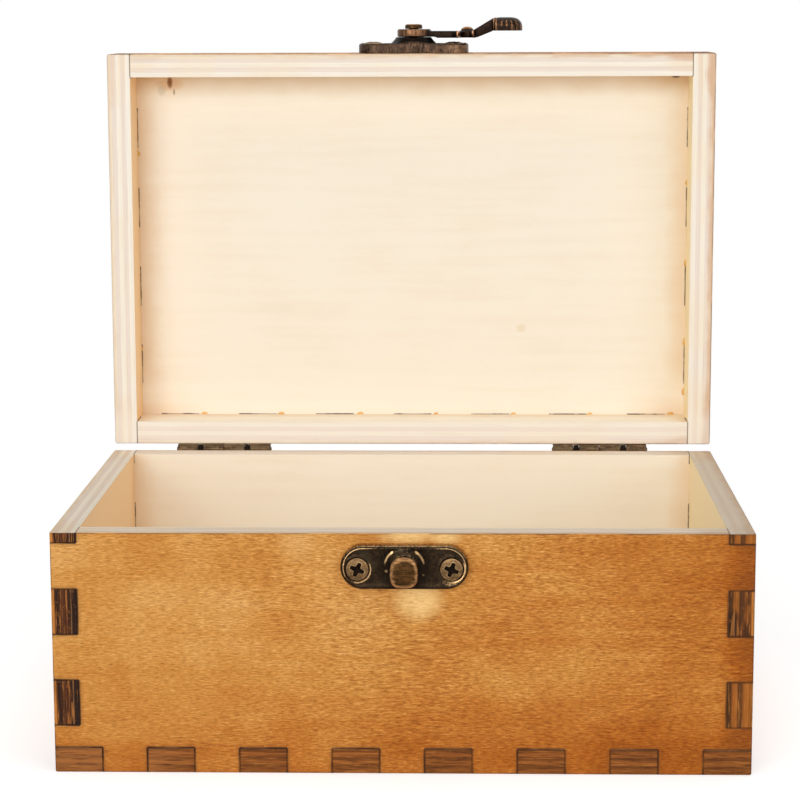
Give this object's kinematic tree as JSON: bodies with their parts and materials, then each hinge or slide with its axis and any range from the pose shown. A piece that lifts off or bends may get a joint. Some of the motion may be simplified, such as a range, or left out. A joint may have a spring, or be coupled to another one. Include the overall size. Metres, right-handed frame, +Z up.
{
  "type": "hinged card box",
  "caption": "Small finger-jointed plywood card box with a lid on rear butt hinges and a swing hook latch at the front.",
  "frame": {"origin": "centre of the base's underside", "axes": "+X to the right seen from the front, +Y to the rear where the hinges are, +Z up; the lid stands open at a right angle"},
  "size_m": [0.16, 0.1326, 0.1714],
  "materials": {
    "base_plywood": "amber stained and waxed outside, bare pale plywood inside, burnt finger joints",
    "lid_plywood": "bare pale plywood inside, amber stained outside, burnt finger joints",
    "latch_bronze": "antique bronze, dark patina with worn copper edges",
    "hinge_bronze": "antique bronze, brown patina",
    "worn_copper": "antique bronze rubbed to bright copper on its edges",
    "screws": "dull bronze plated cross-head screws"
  },
  "bodies": {
    "base": {"base_front_panel": "base_plywood", "base_rear_panel": "base_plywood", "base_left_panel": "base_plywood", "base_right_panel": "base_plywood", "base_bottom_panel": "base_plywood", "catch_plate": "latch_bronze", "catch_post": "worn_copper", "catch_plate_screws": "screws", "left_hinge_base_leaf": "hinge_bronze", "left_hinge_pin": "hinge_bronze", "left_hinge_base_screws": "screws", "right_hinge_base_leaf": "hinge_bronze", "right_hinge_pin": "hinge_bronze", "right_hinge_base_screws": "screws"},
    "lid": {"lid_front_panel": "lid_plywood", "lid_rear_panel": "lid_plywood", "lid_left_panel": "lid_plywood", "lid_right_panel": "lid_plywood", "lid_top_panel": "lid_plywood", "latch_plate": "latch_bronze", "latch_rivet": "worn_copper", "latch_plate_screws": "screws", "left_hinge_lid_leaf": "hinge_bronze", "left_hinge_lid_screws": "screws", "right_hinge_lid_leaf": "hinge_bronze", "right_hinge_lid_screws": "screws"},
    "hook": {"latch_hook": "latch_bronze"}
  },
  "joints": [
    {"name": "lid_hinge", "type": "hinge", "parent": "base", "child": "lid", "pos_m": [0, 0.0534, 0.0566], "axis": [1, 0, 0], "range_deg": [-90, 90]},
    {"name": "hook_swing", "type": "hinge", "parent": "lid", "child": "hook", "pos_m": [0.0007, 0.06, 0.162], "axis": [0, 0, -1], "range_deg": [-180, 90]}
  ]
}
